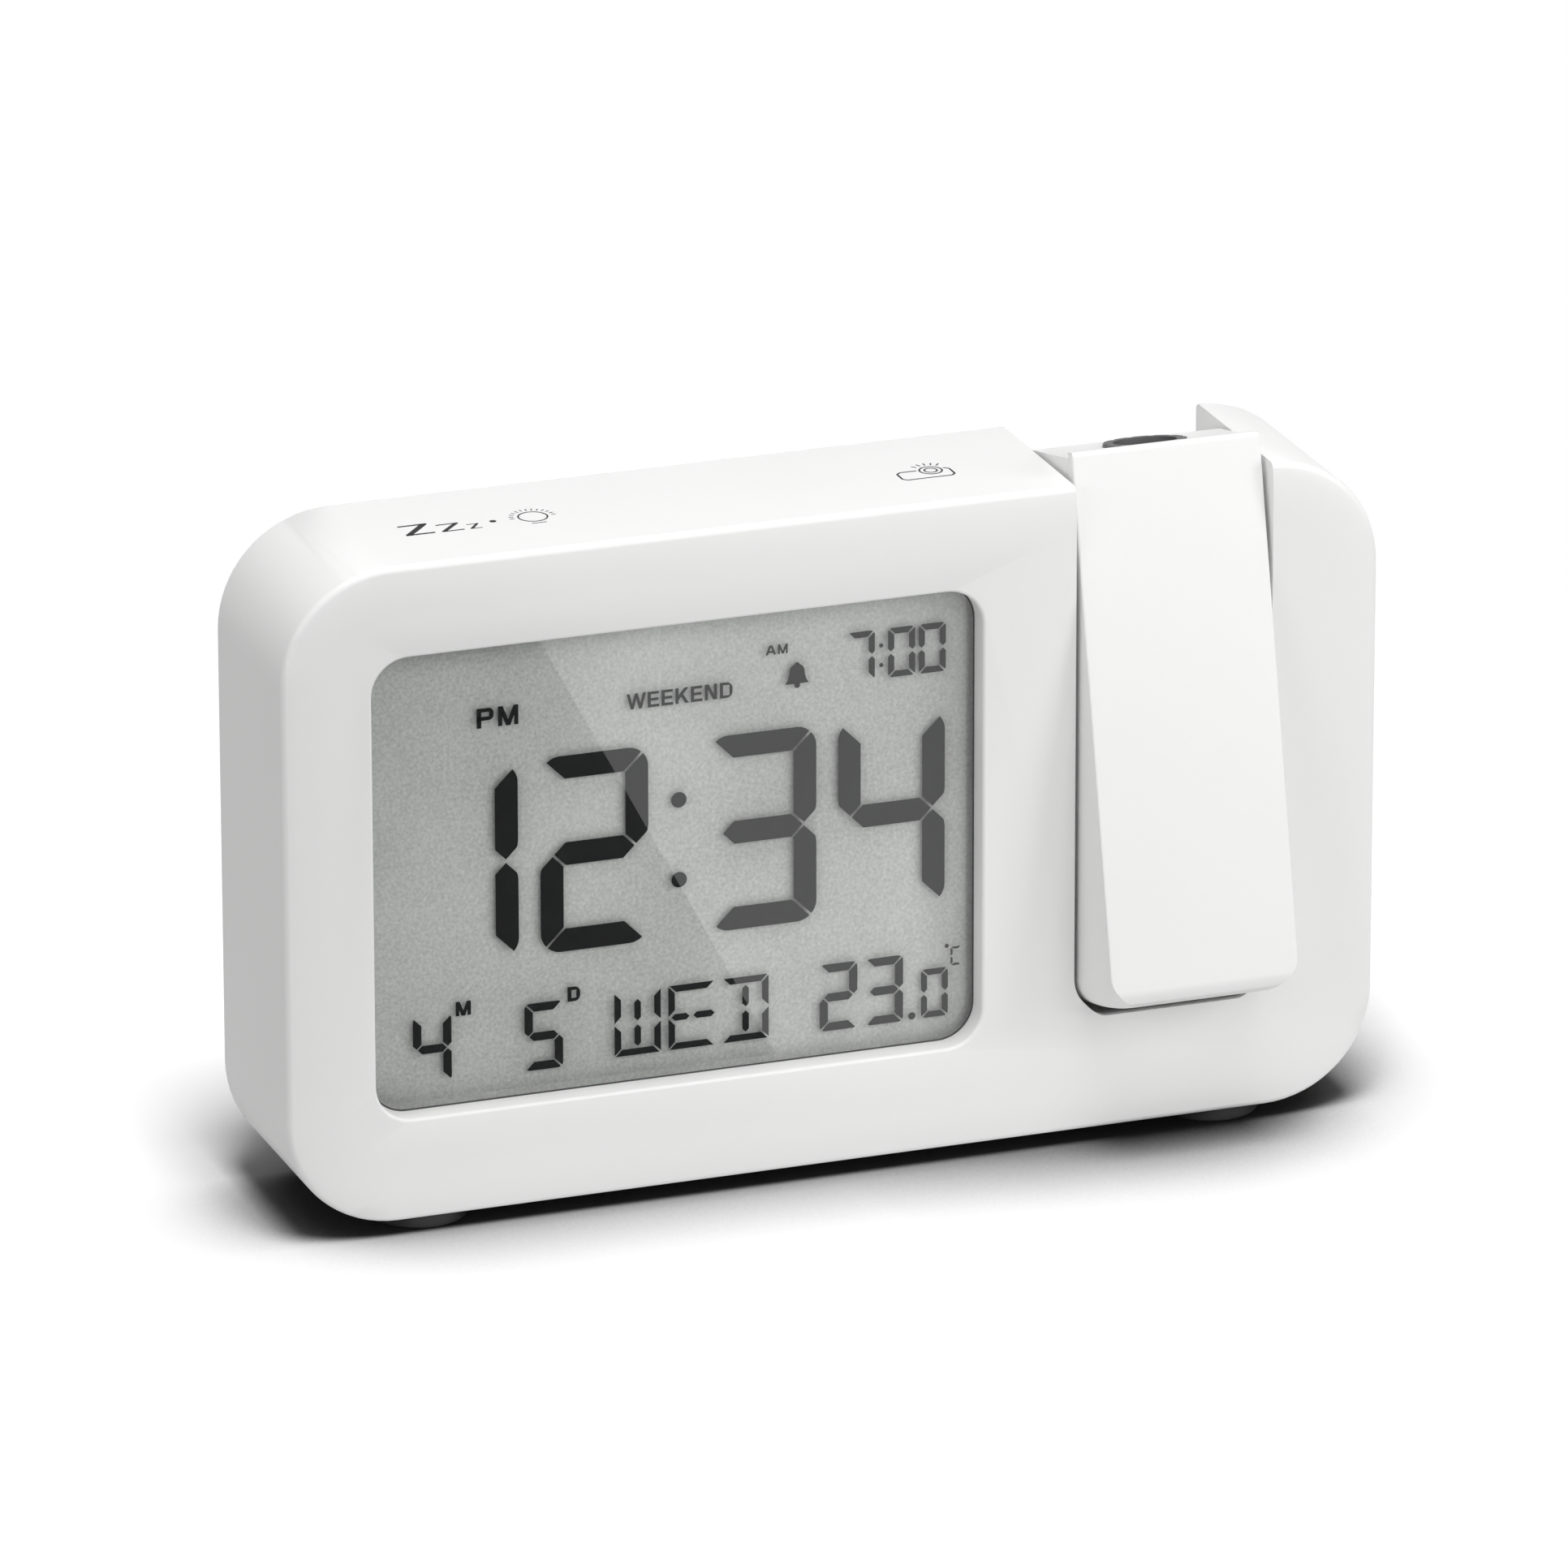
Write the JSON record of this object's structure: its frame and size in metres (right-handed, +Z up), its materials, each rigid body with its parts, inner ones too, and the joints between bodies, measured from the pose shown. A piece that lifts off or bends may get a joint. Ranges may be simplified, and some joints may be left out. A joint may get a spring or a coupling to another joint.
{
  "type": "projection alarm clock",
  "caption": "Slim white bedside clock with a recessed display and a hinged projector arm that swings out of a slot beside it.",
  "frame": {"origin": "on the table, below the middle of the clock's outline with the arm standing 12.7 degrees open", "axes": "+X to the right of someone facing the screen, -Y out of the screen, +Z up"},
  "size_m": [0.15, 0.04, 0.0945],
  "materials": {
    "case_white": "white ABS, fine satin",
    "arm_white": "white ABS, fine satin",
    "window_clear": "clear glossy acrylic",
    "lcd_grey": "grey display panel with dark segments",
    "frame_white": "white moulded plastic",
    "clear_plastic": "clear acrylic",
    "led_ivory": "ivory epoxy",
    "board_green": "green circuit board",
    "part_black": "black plastic",
    "contact_rubber": "conductive rubber",
    "copper_foil": "copper foil",
    "nickel": "nickel-plated spring steel",
    "cell_wrap": "printed metal can",
    "key_grey": "white ABS",
    "steel": "zinc-plated steel",
    "foot_rubber": "dark grey rubber",
    "bush_nylon": "natural nylon",
    "optics_black": "black plastic",
    "ring_grey": "dark grey plastic"
  },
  "bodies": {
    "housing": {"case_shell": "case_white", "rear_cover": "case_white", "screen_window": "window_clear", "lcd_panel": "lcd_grey", "lcd_frame": "frame_white", "light_guide": "clear_plastic", "backlight_board": "frame_white", "backlight_leds": "led_ivory", "contact_strip": "contact_rubber", "main_board": "board_green", "board_chips": "part_black", "touch_pad_snooze": "copper_foil", "touch_pad_projector": "copper_foil", "key_board": "board_green", "key_switches": "part_black", "buzzer": "part_black", "battery_springs": "nickel", "battery_plates": "nickel", "battery_cells": "cell_wrap", "power_board": "board_green", "usb_socket": "steel", "temperature_sensor": "part_black", "cover_screws": "steel", "board_screws": "steel", "foot_front_left": "foot_rubber", "foot_front_right": "foot_rubber", "foot_rear_left": "foot_rubber", "foot_rear_right": "foot_rubber", "pivot_pin_left": "steel", "pivot_pin_right": "steel", "friction_washers": "steel"},
    "arm": {"arm_case": "arm_white", "arm_back": "arm_white", "arm_screws": "steel", "arm_bushes": "bush_nylon", "optics_tube": "optics_black", "lamp_board": "board_green", "projector_lamp": "led_ivory", "condenser_lens": "clear_plastic", "image_panel": "lcd_grey"},
    "focus_ring": {"focus_ring": "ring_grey"},
    "lens_barrel": {"lens_barrel": "optics_black", "projection_lens": "clear_plastic"},
    "battery_door": {"battery_door": "case_white"},
    "key_1": {"key_1": "key_grey"},
    "key_2": {"key_2": "key_grey"},
    "key_3": {"key_3": "key_grey"},
    "key_4": {"key_4": "key_grey"},
    "key_5": {"key_5": "key_grey"}
  },
  "joints": [
    {"name": "arm_hinge", "type": "hinge", "parent": "housing", "child": "arm", "pos_m": [0.04645, 0.00592, 0.0775], "axis": [-1, 0, 0], "range_deg": [-12.7, 77.3]},
    {"name": "focus_turn", "type": "hinge", "parent": "arm", "child": "focus_ring", "pos_m": [0.04645, 0.00303, 0.09199], "axis": [0, 0.2198, 0.9755], "range_deg": [-110, 110]},
    {"name": "lens_slide", "type": "slide", "parent": "arm", "child": "lens_barrel", "axis": [0, 0.2198, 0.9755], "range_m": [-0.0005, 0.0005]},
    {"name": "battery_door_off", "type": "slide", "parent": "housing", "child": "battery_door", "axis": [0, 1, 0], "range_m": [0, 0.03]},
    {"name": "key_1_press", "type": "slide", "parent": "housing", "child": "key_1", "axis": [0, -1, 0], "range_m": [0, 0.0006], "stiffness_N_per_m": 800},
    {"name": "key_2_press", "type": "slide", "parent": "housing", "child": "key_2", "axis": [0, -1, 0], "range_m": [0, 0.0006], "stiffness_N_per_m": 800},
    {"name": "key_3_press", "type": "slide", "parent": "housing", "child": "key_3", "axis": [0, -1, 0], "range_m": [0, 0.0006], "stiffness_N_per_m": 800},
    {"name": "key_4_press", "type": "slide", "parent": "housing", "child": "key_4", "axis": [0, -1, 0], "range_m": [0, 0.0006], "stiffness_N_per_m": 800},
    {"name": "key_5_press", "type": "slide", "parent": "housing", "child": "key_5", "axis": [0, -1, 0], "range_m": [0, 0.0006], "stiffness_N_per_m": 800}
  ],
  "couplings": [
    {"joint": "focus_turn", "follows": "lens_slide", "rad_per_m": 3839}
  ]
}
